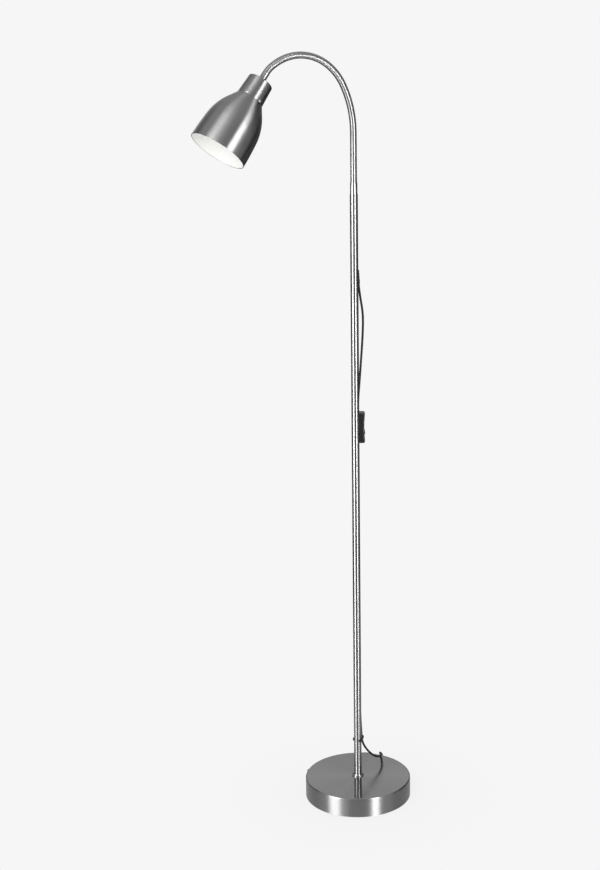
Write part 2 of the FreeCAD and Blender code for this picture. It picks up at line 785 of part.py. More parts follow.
switch_right, switch_rear, switch_height = 4.5, 18.0, 658.8
switch_frame = side_frame(switch_right, switch_rear, switch_height)
half_length = switch_length / 2
half_width = switch_width / 2
waist_radius = (half_length - switch_corner) * (half_length - switch_corner) / (switch_waist * 2.0)
waist_radius = waist_radius + switch_waist / 2

upper_shell = new_body("switch_upper_shell")
profile = outline(
    upper_shell,
    "XZ_Plane",
    (
        (0.0, -half_length),
        (switch_front - switch_corner, -half_length, switch_corner),
        (switch_front, -half_length + switch_corner, -waist_radius),
        (switch_front, half_length - switch_corner, switch_corner),
        (switch_front - switch_corner, half_length),
        (0.0, half_length),
    ),
)
pad(upper_shell, profile, switch_width, midplane=True)
rounded(
    upper_shell,
    switch_edge,
    lambda middle, way: abs(abs(middle.y) - half_width.value) < 0.01 and middle.x > 0.01,
)


def box_loop(x, y, width, height):
    """The corners of a rectangle round a middle."""
    return (
        (x - width / 2, y - height / 2),
        (x + width / 2, y - height / 2),
        (x + width / 2, y + height / 2),
        (x - width / 2, y + height / 2),
    )


cell = box_loop(as_size(0.0), as_size(0.0), cell_width, cell_length)
window = box_loop(as_size(0.0), as_size(0.0), window_width, window_length)
pocket(upper_shell, outline(upper_shell, "YZ_Plane", cell), cell_front, reverse=True)
pocket(upper_shell, outline(upper_shell, "YZ_Plane", window), switch_front, reverse=True)
pin_hole = outline(upper_shell, "XZ_Plane", ("circle", pivot_height, 0.0, pin_radius + thread_gap))
pocket(upper_shell, pin_hole, pin_length + slip_gap, midplane=True)
screw_bores = [("circle", 0.0, case_screw_place * sign, case_screw + thread_gap) for sign in (-1, 1)]
pocket(upper_shell, outline(upper_shell, "YZ_Plane", *screw_bores), switch_front / 2, reverse=True)

lower_shell = new_body("switch_lower_shell")
profile = outline(
    lower_shell,
    "XZ_Plane",
    (
        (0.0, -half_length),
        (0.0, half_length),
        (-switch_back + switch_edge, half_length, switch_edge),
        (-switch_back, half_length - switch_edge),
        (-switch_back, -half_length + switch_edge, switch_edge),
        (-switch_back + switch_edge, -half_length),
    ),
)
pad(lower_shell, profile, switch_width, midplane=True)
rounded(
    lower_shell,
    switch_edge * 0.9,
    lambda middle, way: abs(abs(middle.y) - half_width.value) < 0.01 and middle.x < -0.01,
)
pocket(lower_shell, outline(lower_shell, "YZ_Plane", cell), cell_back)
screw_bores = [("circle", 0.0, case_screw_place * sign, case_screw + slip_gap) for sign in (-1, 1)]
pocket(lower_shell, outline(lower_shell, "YZ_Plane", *screw_bores))

case_screws = []
for sign in (-1, 1):
    foot = Vector(-switch_back.value, 0, sign * case_screw_place.value)
    head = Part.makeCylinder(case_screw_head.value, case_screw_sink.value, foot, Vector(1, 0, 0))
    shank_length = switch_back.value + switch_front.value / 2 - 0.5
    shank = Part.makeCylinder(case_screw.value, shank_length, foot, Vector(1, 0, 0))
    case_screws.append(head.fuse(shank).removeSplitter())
made("switch_screws", Part.makeCompound(case_screws), switch_frame)
head_tools = [
    Part.makeCylinder(
        case_screw_head.value + slip_gap.value,
        case_screw_sink.value,
        Vector(-switch_back.value, 0, sign * case_screw_place.value),
        Vector(1, 0, 0),
    )
    for sign in (-1, 1)
]
cut_piece(lower_shell, "switch_lower_shell", head_tools).Placement = switch_frame
upper_shell.Placement = switch_frame

# The rocker turns about its pin; its two ends run on an arc round the pin, inside the window.
rocker_reach = window_length / 2 - rocker_gap
rocker_half = rocker_reach.value * 0.86
rocker_tilt = math.radians(rocker_slope.value)
face_end = rocker_dip.value + rocker_half * math.tan(rocker_tilt)
face_reach = math.sqrt(rocker_reach.value ** 2 - face_end ** 2)
foot_drop = -2.2
foot_reach = math.sqrt(rocker_reach.value ** 2 - foot_drop ** 2)
rocker = new_body("switch_rocker")
profile = outline(
    rocker,
    "XZ_Plane",
    (
        (foot_drop, -foot_reach),
        (face_end, -face_reach),
        (rocker_dip, 0.0),
        (face_end, face_reach),
        (foot_drop, foot_reach),
    ),
    ("circle", 0.0, 0.0, pin_radius + pin_gap),
)
pad(rocker, profile, window_width - rocker_gap * 2.0, midplane=True)
rocker_frame = switch_frame.multiply(Placement(Vector(pivot_height.value, 0, 0), Rotation()))
rocker.Placement = rocker_frame.multiply(Placement(Vector(), Rotation(Vector(0, 1, 0), -rocker_slope.value)))

pin_body = ring("switch_pin", 0.0, pin_radius, -pin_length / 2, pin_length / 2)
pin_body.Placement = rocker_frame.multiply(Placement(Vector(), Rotation(Vector(1, 0, 0), 90)))

terminal_long = size("terminal_long", 9.0, "length of a switch terminal")
terminal_wide = size("terminal_wide", 4.0, "width and height of a switch terminal")
terminals = [
    Part.makeBox(
        cell_back.value,
        terminal_wide.value,
        terminal_long.value,
        Vector(-cell_back.value, side * 4.5 - terminal_wide.value / 2, end * 8.5 - terminal_long.value / 2),
    )
    for side in (-1, 1)
    for end in (-1, 1)
]
made("switch_terminals", Part.makeCompound(terminals), switch_frame)

# ---- cord -------------------------------------------------------------------------------------------


def route_wire(label, points):
    """Straight runs joined by tangent arcs, each as large as its two runs allow."""
    edges = []
    radii = []
    start = points[0]
    for before, corner, after in zip(points, points[1:], points[2:]):
        way_in = (corner - before).normalize()
        way_out = (after - corner).normalize()
        turn = way_in.getAngle(way_out)
        setback = 0.45 * min((corner - before).Length, (after - corner).Length)
        radii.append(setback / math.tan(turn / 2))
        first = corner - way_in * setback
        last = corner + way_out * setback
        inward = (way_out - way_in).normalize()
        middle = corner + inward * (radii[-1] / math.cos(turn / 2) - radii[-1])
        edges.append(Part.LineSegment(start, first).toShape())
        edges.append(Part.Arc(first, middle, last).toShape())
        start = last
    edges.append(Part.LineSegment(start, points[-1]).toShape())
    print(label, "bend radii", " ".join("{:.0f}".format(radius) for radius in radii))
    return Part.Wire(edges)


def cord_piece(label, wire):
    """A round cord along a wire, its volume compared with its section times its length."""
    tube = tube_along(wire, cord_radius.value)
    ideal = math.pi * cord_radius.value ** 2 * wire.Length
    print(label, "length {:.1f}, volume ratio {:.5f}".format(wire.Length, tube.Volume / ideal))
    return made(label, tube)


# The length left over is wound into a flat coil behind the base: in on one layer, out on the next.
coil_side = size("coil_side", 12.0, "middle of the pole to the middle of the coil, to the right")
coil_back = size("coil_back", 120.8, "middle of the pole to the middle of the coil, to the back")
coil_low = size("coil_low", 2.9, "floor to the middle of the cord in the coil's lower layer")
coil_pitch = size("coil_pitch", 4.2, "step from one turn of the coil to the next")
coil_layer = size("coil_layer", 4.05, "step from the coil's lower layer to its upper one")
coil_inner = size("coil_inner", 14.2, "radius at which the coil's climb starts and ends")
coil_in = size("coil_in", 2.75, "turns on the way in")
coil_climb = size("coil_climb", 0.5, "part of a turn in which the cord climbs and the spiral reverses")
coil_out = size("coil_out", 2.8333, "turns on the way out")
coil_lead = size("coil_lead", 4.0, "straight cord at each end of the coil")


def coil_at(turns):
    """A point of the coil's middle line after a number of turns, wound clockwise from its front."""
    climb = min(max(turns - coil_in.value, 0.0), coil_climb.value)
    inward = max(coil_in.value - turns, 0.0) - climb * (1 - climb / coil_climb.value)
    outward = max(turns - coil_in.value - coil_climb.value, 0.0)
    radius = coil_inner.value + coil_pitch.value * (inward + outward)
    angle = -math.pi / 2 - 2 * math.pi * turns
    rise = coil_layer.value * (1 - math.cos(math.pi * climb / coil_climb.value)) / 2
    right = coil_side.value + radius * math.cos(angle)
    return behind(right, coil_back.value + radius * math.sin(angle), coil_low.value + rise)


def coil_way(turns):
    return (coil_at(turns + 0.001) - coil_at(turns - 0.001)).normalize()


def arc_from(start, way, end):
    """An arc that leaves start in a direction and ends at end."""
    chord = end - start
    off = way.getAngle(chord)
    corner = start + way * (chord.Length / 2 / math.cos(off))
    middle = (start + end) * 0.5
    rise = chord.Length / 2 * math.tan(off / 2)
    return Part.Arc(start, middle + (corner - middle).normalize() * rise, end).toShape()


def biarc(start, start_way, end, end_way):
    """Two arcs that join two points, each in its direction, and meet smoothly."""
    span = end - start
    both = start_way + end_way
    spread = 2 * (1 - start_way.dot(end_way))
    reach = (-span.dot(both) + math.sqrt(span.dot(both) ** 2 + spread * span.dot(span))) / spread
    meeting = (start + start_way * reach + end - end_way * reach) * 0.5
    return [arc_from(start, start_way, meeting), arc_from(end, end_way * -1, meeting)]


coil_turns = coil_in.value + coil_climb.value + coil_out.value
stations = [step / 4 for step in range(int(coil_turns * 4) + 1)] + [coil_turns]
coil_start = coil_at(0.0) - coil_way(0.0) * coil_lead.value
coil_end = coil_at(coil_turns) + coil_way(coil_turns) * coil_lead.value
coil_edges = [Part.LineSegment(coil_start, coil_at(0.0)).toShape()]
for before, after in zip(stations, stations[1:]):
    coil_edges += biarc(coil_at(before), coil_way(before), coil_at(after), coil_way(after))
coil_edges.append(Part.LineSegment(coil_at(coil_turns), coil_end).toShape())
coil_wire = Part.Wire(Part.__sortEdges__(coil_edges))
cord_piece("cord_coil", coil_wire)

trace = coil_wire.discretize(Distance=2.0)
gap = min(
    trace[first].distanceToPoint(trace[second])
    for first in range(len(trace))
    for second in range(first + 8, len(trace))
)
print("cord_coil least gap to itself {:.2f}".format(gap - 2 * cord_radius.value))

# The free stretches hang and lie as they please, so their points are chosen one by one.
relief_end = exit_turning.multVec(relief_to)
relief_run = exit_turning.multVec(relief_way.normalize())
switch_middle = behind(switch_right, switch_rear, switch_height)
upright = Vector(0, 0, 1)
upper_route = [
    relief_end,
    relief_end + relief_run * 18.0,
    Vector(20.0, 4.4, 850.0),
    Vector(19.8, 6.3, 812.0),
    Vector(17.4, 8.0, 772.0),
    Vector(15.4, 9.9, 735.0),
    switch_middle + upright * (half_length.value + 20.0),
    switch_middle + upright * half_length.value,
]
cord_piece("cord_upper", route_wire("cord_upper", upper_route))

lower_points = (
    (3.9, 17.1, 575.0),
    (3.2, 15.6, 522.0),
    (2.7, 14.1, 466.0),
    (2.4, 12.9, 409.0),
    (2.4, 12.1, 351.0),
    (2.6, 11.6, 293.0),
    (3.0, 11.3, 235.0),
    (3.8, 10.9, 178.0),
    (5.2, 10.0, 136.0),
    (6.5, 9.3, 112.0),
    (7.6, 11.2, 94.0),
    (12.4, 15.2, 81.5),
    (20.6, 18.8, 69.0),
    (30.2, 25.6, 58.6),
    (37.6, 37.4, 52.6),
    (42.0, 50.6, 49.4),
    (43.2, 63.2, 45.2),
    (42.0, 74.4, 41.4),
    (41.2, 83.8, 40.0),
    (42.8, 91.8, 36.6),
    (45.0, 97.4, 30.8),
    (46.0, 100.2, 23.0),
    (44.2, 100.6, 14.8),
    (39.4, 99.2, 8.2),
    (32.2, 96.8, 4.1),
)
lower_route = [switch_middle - upright * half_length.value]
lower_route.append(switch_middle - upright * (half_length.value + 24.0))
lower_route += [behind(*point) for point in lower_points]
lower_route += [coil_start - coil_way(0.0) * 8.4, coil_start]
cord_piece("cord_lower", route_wire("cord_lower", lower_route))

# ---- plug -------------------------------------------------------------------------------------------
# The plug lies flat behind the base, on a line that just misses it. Its own +X points to the blades.

plug_length = size("plug_length", 22.0, "length of the plug's body")
plug_width = size("plug_width", 22.0, "width of the plug's body")
plug_height = size("plug_height", 12.0, "height of the plug's body")
plug_edge = size("plug_edge", 2.4, "rounding of the plug's long edges")
plug_taper = size("plug_taper", 4.0, "how much narrower each side is where the relief joins")
plug_relief_length = size("plug_relief_length", 20.0, "length of the plug's strain relief")
plug_relief_radius = size("plug_relief_radius", 4.2, "radius of the strain relief at the plug")
plug_relief_tip = size("plug_relief_tip", 2.6, "radius of the strain relief at the cord")
blade_length = size("blade_length", 16.0, "length of a blade outside the plug")
blade_width = size("blade_width", 6.35, "width of a blade")
blade_thick = size("blade_thick", 1.5, "thickness of a blade")
blade_spacing = size("blade_spacing", 12.7, "middle to middle of the two blades")
blade_root = size("blade_root", 5.0, "length of a blade inside the plug")
plug_turn = size("plug_turn", 33.0, "angle round the pole from its back to the plug, degrees")
plug_gap = size("plug_gap", 1.8, "clearance between the plug and the base")
plug_slide = size("plug_slide", 10.0, "how far the plug's middle lies past the nearest place to the base")

tangent = 180.0 + plug_turn
plug_axis = (base_radius + plug_gap + plug_width / 2).value
plug_reach = plug_slide.value - plug_relief_length.value - plug_length.value / 2
sideways = math.radians(plug_turn.value)
plug_right = -plug_axis * math.sin(sideways) - plug_reach * math.cos(sideways)
plug_back = plug_axis * math.cos(sideways) - plug_reach * math.sin(sideways)
plug_high = coil_low.value + coil_layer.value
plug_frame = side_frame(plug_right, plug_back, plug_high, tangent.value)

plug_relief = turned(
    "plug_relief",
    (
        (0.0, 0.0),
        (plug_relief_tip, 0.0),
        (plug_relief_radius, plug_relief_length),
        (0.0, plug_relief_length),
    ),
)
plug_relief.Placement = plug_frame.multiply(Placement(Vector(), Rotation(Vector(0, 1, 0), 90)))

plug_body = new_body("plug_body")
profile = outline(
    plug_body,
    "XY_Plane",
    (
        (plug_relief_length, -plug_width / 2 + plug_taper),
        (plug_relief_length + plug_taper, -plug_width / 2),
        (plug_relief_length + plug_length, -plug_width / 2),
        (plug_relief_length + plug_length, plug_width / 2),
        (plug_relief_length + plug_taper, plug_width / 2),
        (plug_relief_length, plug_width / 2 - plug_taper),
    ),
)
pad(plug_body, profile, plug_height, midplane=True)
rounded(plug_body, plug_edge, lambda middle, way: abs(way.z) < 0.1 and abs(way.x) > 0.1)
slots = [
    box_loop(as_size(blade_spacing * side / 2), as_size(0.0), blade_thick + slip_gap, blade_width + slip_gap)
    for side in (-1, 1)
]
slot_sketch = outline(plug_body, "YZ_Plane", *slots)
slot_sketch.AttachmentOffset = Placement(Vector(0, 0, (plug_relief_length + plug_length).value), Rotation())
pocket(plug_body, slot_sketch, blade_root)
plug_body.Placement = plug_frame

blade_start = (plug_relief_length + plug_length - blade_root).value
blades = []
for side in (-1, 1):
    corner = Vector(blade_start, side * blade_spacing.value / 2 - blade_thick.value / 2, -blade_width.value / 2)
    blade = Part.makeBox(blade_root.value + blade_length.value, blade_thick.value, blade_width.value, corner)
    tip = [
        edge
        for edge in blade.Edges
        if edge.CenterOfMass.x > blade_start + blade_root.value + blade_length.value - 0.01
        and abs(edge.CenterOfMass.z) > blade_width.value / 2 - 0.01
    ]
    blades.append(blade.makeChamfer(1.2, tip))
made("plug_blades", Part.makeCompound(blades), plug_frame)

tail_way = coil_way(coil_turns)
plug_way = plug_frame.Rotation.multVec(Vector(1, 0, 0))
tail_route = [
    coil_end,
    coil_end + tail_way * 10.0,
    plug_frame.Base - plug_way * 10.0,
    plug_frame.Base,
]
cord_piece("cord_tail", route_wire("cord_tail", tail_route))

# ---- cord clip --------------------------------------------------------------------------------------
# A springy ring grips the pole low down, and the cord passes through its eye.

clip_height = size("clip_height", 102.0, "floor to the middle of the clip")
clip_tall = size("clip_tall", 4.0, "height of the clip")
clip_wall = size("clip_wall", 2.0, "wall of the clip's ring")
clip_gap = size("clip_gap", 0.05, "clearance between the clip and the pole")
clip_mouth = size("clip_mouth", 110.0, "angle over which the clip is open, degrees")
eye_turn = size("eye_turn", 21.6, "angle round the pole from +X to the clip's eye, degrees")
eye_reach = size("eye_reach", 12.57, "middle of the pole to the middle of the eye")
eye_gap = size("eye_gap", 0.5, "clearance of the cord in the eye")
eye_wall = size("eye_wall", 1.3, "wall of the eye")

clip_inner = pole_radius.value + clip_gap.value
clip_outer = clip_inner + clip_wall.value
clip_arc = 360.0 - clip_mouth.value
clip_base = Vector(0, 0, -clip_tall.value / 2)
eye_base = Vector(eye_reach.value, 0, -clip_tall.value / 2)
eye_bore = cord_radius.value + eye_gap.value
band = Part.makeCylinder(clip_outer, clip_tall.value, clip_base, upright, clip_arc)
band.Placement = Placement(Vector(), Rotation(upright, -clip_arc / 2)).multiply(band.Placement)
web_corner = Vector(clip_inner + 0.5, -1.6, -clip_tall.value / 2)
web = Part.makeBox(eye_reach.value - clip_inner - 0.5 - eye_bore, 3.2, clip_tall.value, web_corner)
clip = band.fuse([Part.makeCylinder(eye_bore + eye_wall.value, clip_tall.value, eye_base), web])
clip = clip.cut(Part.makeCylinder(clip_inner, clip_tall.value + 2, clip_base - upright))
clip = clip.cut(Part.makeCylinder(eye_bore, clip_tall.value + 2, eye_base - upright))
made("cord_clip", solid_of(clip), Placement(Vector(0, 0, clip_height.value), Rotation(upright, eye_turn.value)))

# ---- checks and files -------------------------------------------------------------------------------

doc.recompute()
for thing in doc.Objects:
    if {"Invalid", "Error"} & set(thing.State):
        raise RuntimeError("{} failed: {}".format(thing.Label, thing.State))
for piece in pieces:
    if piece.Shape.isNull() or not piece.Shape.isValid():
        raise RuntimeError(piece.Label + " has no valid shape")
    if not piece.Shape.Solids:
        raise RuntimeError(piece.Label + " has no solid")

os.makedirs("parts", exist_ok=True)
for piece in pieces:
    piece.Shape.exportStep("parts/{}.step".format(piece.Label))
print(len(pieces), "pieces written")
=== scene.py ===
import math

import bpy
from mathutils import Matrix, Vector


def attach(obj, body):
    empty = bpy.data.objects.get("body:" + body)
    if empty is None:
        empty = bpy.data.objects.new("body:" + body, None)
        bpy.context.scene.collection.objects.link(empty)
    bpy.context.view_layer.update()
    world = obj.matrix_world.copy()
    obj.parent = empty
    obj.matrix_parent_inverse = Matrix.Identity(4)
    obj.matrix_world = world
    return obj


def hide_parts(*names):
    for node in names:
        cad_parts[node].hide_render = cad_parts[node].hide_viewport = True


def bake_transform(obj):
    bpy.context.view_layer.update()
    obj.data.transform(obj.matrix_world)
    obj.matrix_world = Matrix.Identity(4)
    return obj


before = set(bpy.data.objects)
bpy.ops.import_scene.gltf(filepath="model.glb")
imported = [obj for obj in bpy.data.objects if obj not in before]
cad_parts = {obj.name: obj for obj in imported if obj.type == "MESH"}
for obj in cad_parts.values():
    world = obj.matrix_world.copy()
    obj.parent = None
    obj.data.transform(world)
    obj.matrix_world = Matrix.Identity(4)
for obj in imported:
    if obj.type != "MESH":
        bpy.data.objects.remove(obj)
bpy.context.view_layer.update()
mm = 0.001

# ---- view ---------------------------------------------------------------------------------------
# The lamp is looked at from a little above its shade, 2.57 m away, through a long lens whose middle
# lies to the left of the pole.

lens_focus = 65.99
view_place = (-1.4369, -2.1303, 1.2946)
view_turn = math.radians(-34.0)
view_drop = math.radians(14.09)
view_roll = math.radians(-0.419)
camera = bpy.data.objects.new("camera", bpy.data.cameras.new("camera"))
bpy.context.scene.collection.objects.link(camera)
camera.data.lens = lens_focus
camera.data.sensor_width = 36.0
camera.data.shift_x = -0.0638
camera.matrix_world = (
    Matrix.Translation(view_place)
    @ Matrix.Rotation(view_turn, 4, "Z")
    @ Matrix.Rotation(math.pi / 2 - view_drop, 4, "X")
    @ Matrix.Rotation(view_roll, 4, "Z")
)
bpy.context.scene.camera = camera
bpy.context.scene.view_settings.view_transform = "Standard"


def behind(right, back, height):
    """A point in millimetres in the level frame of the view, right and back from the pole, in metres."""
    return Matrix.Rotation(view_turn, 3, "Z") @ Vector((right, back, height)) * mm


# ---- studio -------------------------------------------------------------------------------------
# A pale floor in a pale room. Two tall soft lamps stand left and right in front of the lamp, and
# dark cloths, which only polished metal sees, stand behind the view and behind the lamp.


def linear(code):
    """The linear colour of an sRGB hex value."""
    channels = [int(code[start : start + 2], 16) / 255 for start in (1, 3, 5)]
    return [c / 12.92 if c <= 0.04045 else ((c + 0.055) / 1.055) ** 2.4 for c in channels] + [1.0]


def node(tree, kind, settings, inputs):
    """Adds a node, sets its properties, and gives each input a value or another node's output."""
    made = tree.nodes.new("ShaderNode" + kind)
    for name, value in settings.items():
        setattr(made, name, value)
    for name, value in inputs.items():
        if isinstance(value, bpy.types.NodeSocket):
            tree.links.new(value, made.inputs[name])
        else:
            made.inputs[name].default_value = value
    return made


backdrop_grey = linear("#F6F6F6")


def seen_directly(tree):
    """1 for what the view, a reflection or clear glass shows, and 0 for what lights the lamp."""
    path = node(tree, "LightPath", {}, {})
    either = node(tree, "Math", {"operation": "MAXIMUM"}, {0: path.outputs["Is Camera Ray"], 1: path.outputs["Is Glossy Ray"]})
    every = node(tree, "Math", {"operation": "MAXIMUM"}, {0: either.outputs[0], 1: path.outputs["Is Transmission Ray"]})
    return every.outputs[0]


room = bpy.data.worlds.new("pale_room")
bpy.context.scene.world = room
room.use_nodes = True
tree = room.node_tree
tree.nodes.clear()
fill_light = node(tree, "Background", {}, {"Color": linear("#FFFFFF"), "Strength": 0.9})
shown = node(tree, "Background", {}, {"Color": backdrop_grey, "Strength": 1.0})
either = node(tree, "MixShader", {}, {0: seen_directly(tree), 1: fill_light.outputs[0], 2: shown.outputs[0]})
node(tree, "OutputWorld", {}, {"Surface": either.outputs[0]})

floor_grey = linear("#E6E6E6")
floor_finish = bpy.data.materials.new("matt_floor")
floor_finish.use_nodes = True
tree = floor_finish.node_tree
tree.nodes.clear()
paint = node(tree, "BsdfDiffuse", {}, {"Color": floor_grey})
shown = node(tree, "Emission", {}, {"Color": backdrop_grey, "Strength": 1.0})
# Near the lamp a share of the paint stays, so that the floor keeps the lamp's soft shadow.
reach = node(tree, "VectorMath", {"operation": "LENGTH"}, {0: node(tree, "TexCoord", {}, {}).outputs["Object"]})
share = node(
    tree, "MapRange", {"interpolation_type": "SMOOTHSTEP"}, {0: reach.outputs["Value"], 1: 0.08, 2: 0.30, 3: 0.86, 4: 1.0}
)
direct = node(tree, "Math", {"operation": "MULTIPLY"}, {0: seen_directly(tree), 1: share.outputs[0]})
either = node(tree, "MixShader", {}, {0: direct.outputs[0], 1: paint.outputs[0], 2: shown.outputs[0]})
node(tree, "OutputMaterial", {}, {"Surface": either.outputs[0]})

floor_half = 12.0
floor_mesh = bpy.data.meshes.new("floor")
floor_mesh.from_pydata(
    [(-floor_half, -floor_half, 0), (floor_half, -floor_half, 0), (floor_half, floor_half, 0), (-floor_half, floor_half, 0)],
    [],
    [(0, 1, 2, 3)],
)
floor_mesh.materials.append(floor_finish)
floor = bpy.data.objects.new("floor", floor_mesh)
bpy.context.scene.collection.objects.link(floor)

# Each cloth is a piece of a ring round the lamp, hung up or laid on the floor: name, first and last
# direction in degrees from the view to the right, its two edges as (reach, height) in metres, and
# how bright it is.
cloths = (
    ("cloth_front_left", -30.0, 2.0, (3.4, 0.02), (3.4, 1.1), 0.10),
    ("cloth_front_right", 2.0, 24.0, (3.4, 0.02), (3.4, 1.4), 0.01),
    ("mat_front", 0.0, 26.0, (0.3, 0.01), (3.4, 0.01), 0.06),
    ("mat_front_left", -37.0, 0.0, (0.3, 0.01), (3.4, 0.01), 0.08),
    ("sheet_left", -62.0, -38.0, (0.35, 0.01), (2.3, 0.01), 5.0),
    ("sheet_right", 29.3, 43.7, (0.35, 0.01), (2.3, 0.01), 5.0),
    ("cloth_right", 78.0, 150.0, (3.4, 0.05), (3.4, 3.4), 0.025),
    ("mat_right", 96.0, 150.0, (0.4, 0.01), (3.4, 0.01), 0.06),
    ("cloth_left", 225.0, 268.0, (3.4, 0.3), (3.4, 3.4), 0.12),
    ("mat_left", 225.0, 292.0, (0.5, 0.01), (3.4, 0.01), 0.10),
    ("cloth_back", 152.0, 223.0, (3.5, 0.02), (3.5, 1.1), 0.05),
    ("mat_back", 152.0, 223.0, (0.5, 0.01), (3.5, 0.01), 0.05),
    ("reflector_left", -39.0, -21.0, (3.3, 0.05), (3.3, 1.8), 3.0),
)
for name, first, last, near, far, glowing in cloths:
    steps = 12
    points = []
    for step in range(steps + 1):
        turn = math.radians(first + (last - first) * step / steps)
        way = behind(math.sin(turn), -math.cos(turn), 0) / mm
        points += [way * reach + Vector((0, 0, height)) for reach, height in (near, far)]
    faces = [(2 * s, 2 * s + 1, 2 * s + 3, 2 * s + 2) for s in range(steps)]
    cloth_mesh = bpy.data.meshes.new(name)
    cloth_mesh.from_pydata(points, [], faces)
    dark_cloth = bpy.data.materials.new(name)
    dark_cloth.use_nodes = True
    tree = dark_cloth.node_tree
    tree.nodes.clear()
    glow = node(tree, "Emission", {}, {"Color": linear("#FFFFFF"), "Strength": glowing})
    node(tree, "OutputMaterial", {}, {"Surface": glow.outputs[0]})
    cloth_mesh.materials.append(dark_cloth)
    cloth = bpy.data.objects.new(name, cloth_mesh)
    bpy.context.scene.collection.objects.link(cloth)
    for ray in ("camera", "diffuse", "transmission", "volume_scatter", "shadow"):
        setattr(cloth, "visible_" + ray, False)

# Each soft lamp: name, direction in degrees from the view to the right, distance, height of its
# middle, width, height, power in watts, and what it is for: the two strips only give the metal its
# bright bands, and the wide one lights the paint and the plastics.
soft_lamps = (
    ("strip_left", -50.0, 2.3, 0.80, 0.95, 1.6, 94.0, "glossy"),
    ("strip_right", 36.5, 2.3, 0.80, 0.58, 1.6, 74.0, "glossy"),
    ("lamp_wide", -20.0, 2.4, 1.20, 1.80, 1.8, 34.0, "diffuse"),
)
for name, turn, reach, height, width, tall, power, use in soft_lamps:
    light = bpy.data.lights.new(name, "AREA")
    light.shape = "RECTANGLE"
    light.size, light.size_y, light.energy = width, tall, power
    lamp = bpy.data.objects.new(name, light)
    bpy.context.scene.collection.objects.link(lamp)
    turn = math.radians(turn)
    lamp.location = behind(math.sin(turn), -math.cos(turn), 0) / mm * reach + Vector((0, 0, height))
    aim = Vector((0, 0, 0.8)) - lamp.location
    lamp.rotation_euler = aim.to_track_quat("-Z", "Y").to_euler()
    lamp.visible_diffuse = use == "diffuse"
    lamp.visible_glossy = use == "glossy"

# ---- base weight --------------------------------------------------------------------------------
# A cast-iron disc under the cover gives the lamp its stand. Sand casting leaves it dull and grainy,
# and it is bolted to the pole through a washer and a nut, both zinc-plated.


def finish(name, colour, inputs):
    """A new material with one principled shader, which the section's nodes then feed."""
    material = bpy.data.materials.new(name)
    material.use_nodes = True
    tree = material.node_tree
    tree.nodes.clear()
    shader = node(tree, "BsdfPrincipled", {}, {"Base Color": colour, **inputs})
    node(tree, "OutputMaterial", {}, {"Surface": shader.outputs[0]})
    place = node(tree, "TexCoord", {}, {}).outputs["Object"]
    return material, tree, shader, place


def grained(name, dark, light, rough, grain, relief, inputs):
    """A material with an even grain: its two tones, its range of roughness, the grain's size and its relief in mm."""
    material, tree, shader, place = finish(name, linear(light), inputs)
    noise = node(tree, "TexNoise", {}, {"Vector": place, "Scale": 1 / (grain * mm), "Detail": 5.0, "Roughness": 0.6})
    tone = node(tree, "Mix", {"data_type": "RGBA"}, {0: noise.outputs[0], 6: linear(dark), 7: linear(light)})
    gloss = node(tree, "MapRange", {}, {0: noise.outputs[0], 1: 0.3, 2: 0.7, 3: rough[0], 4: rough[1]})
    bump = node(tree, "Bump", {}, {"Strength": 0.5, "Distance": relief * mm, "Height": noise.outputs[0]})
    tree.links.new(tone.outputs[2], shader.inputs["Base Color"])
    tree.links.new(gloss.outputs[0], shader.inputs["Roughness"])
    tree.links.new(bump.outputs[0], shader.inputs["Normal"])
    return material


def dress(material, *names):
    """Gives the material to solids that are shown as they are."""
    for name in names:
        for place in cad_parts[name].material_slots:
            place.material = material


cast_iron = grained("cast_iron", "#2E2D2C", "#4B4947", (0.62, 0.78), 1.4, 0.30, {"Metallic": 0.6})
zinc_plate = grained("zinc_plated_steel", "#9FA2A4", "#BEC1C2", (0.28, 0.40), 2.5, 0.02, {"Metallic": 1.0})
dress(cast_iron, "base_weight")
dress(zinc_plate, "base_washer", "base_nut")

# ---- felt ---------------------------------------------------------------------------------------
# A disc of pressed wool felt is glued under the weight, so that the lamp doesn't scratch the floor.
# It is matt, and its fibres lie every way.


def piece(name, points, faces, material, body, frame_of=None):
    """A smooth mesh in metres that rides on a body of the frame and takes its finish from a slot."""
    mesh = bpy.data.meshes.new(name)
    mesh.from_pydata(points, [], faces)
    mesh.materials.append(material)
    mesh.validate()
    mesh.shade_smooth()
    mesh.set_sharp_from_angle(angle=math.radians(38))
    thing = bpy.data.objects.new(name, mesh)
    bpy.context.scene.collection.objects.link(thing)
    thing.matrix_world = frame_of or Matrix.Identity(4)
    if body:
        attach(thing, body)
    return thing


def arc(start, end, radius, steps):
    """Points after start, to end, on an arc of that radius; it swells to the left of the way when positive."""
    start, end = Vector(start), Vector(end)
    chord = end - start
    side = Vector((-chord.y, chord.x)).normalized()
    half = chord.length / 2
    middle = (start + end) / 2 - side * math.copysign(math.sqrt(max(radius * radius - half * half, 0.0)), radius)
    sweep = 2 * math.asin(min(half / abs(radius), 1.0)) * math.copysign(1, radius)
    arm = start - middle
    turns = [-sweep * step / steps for step in range(1, steps + 1)]
    return [middle + Matrix.Rotation(turn, 2) @ arm for turn in turns]


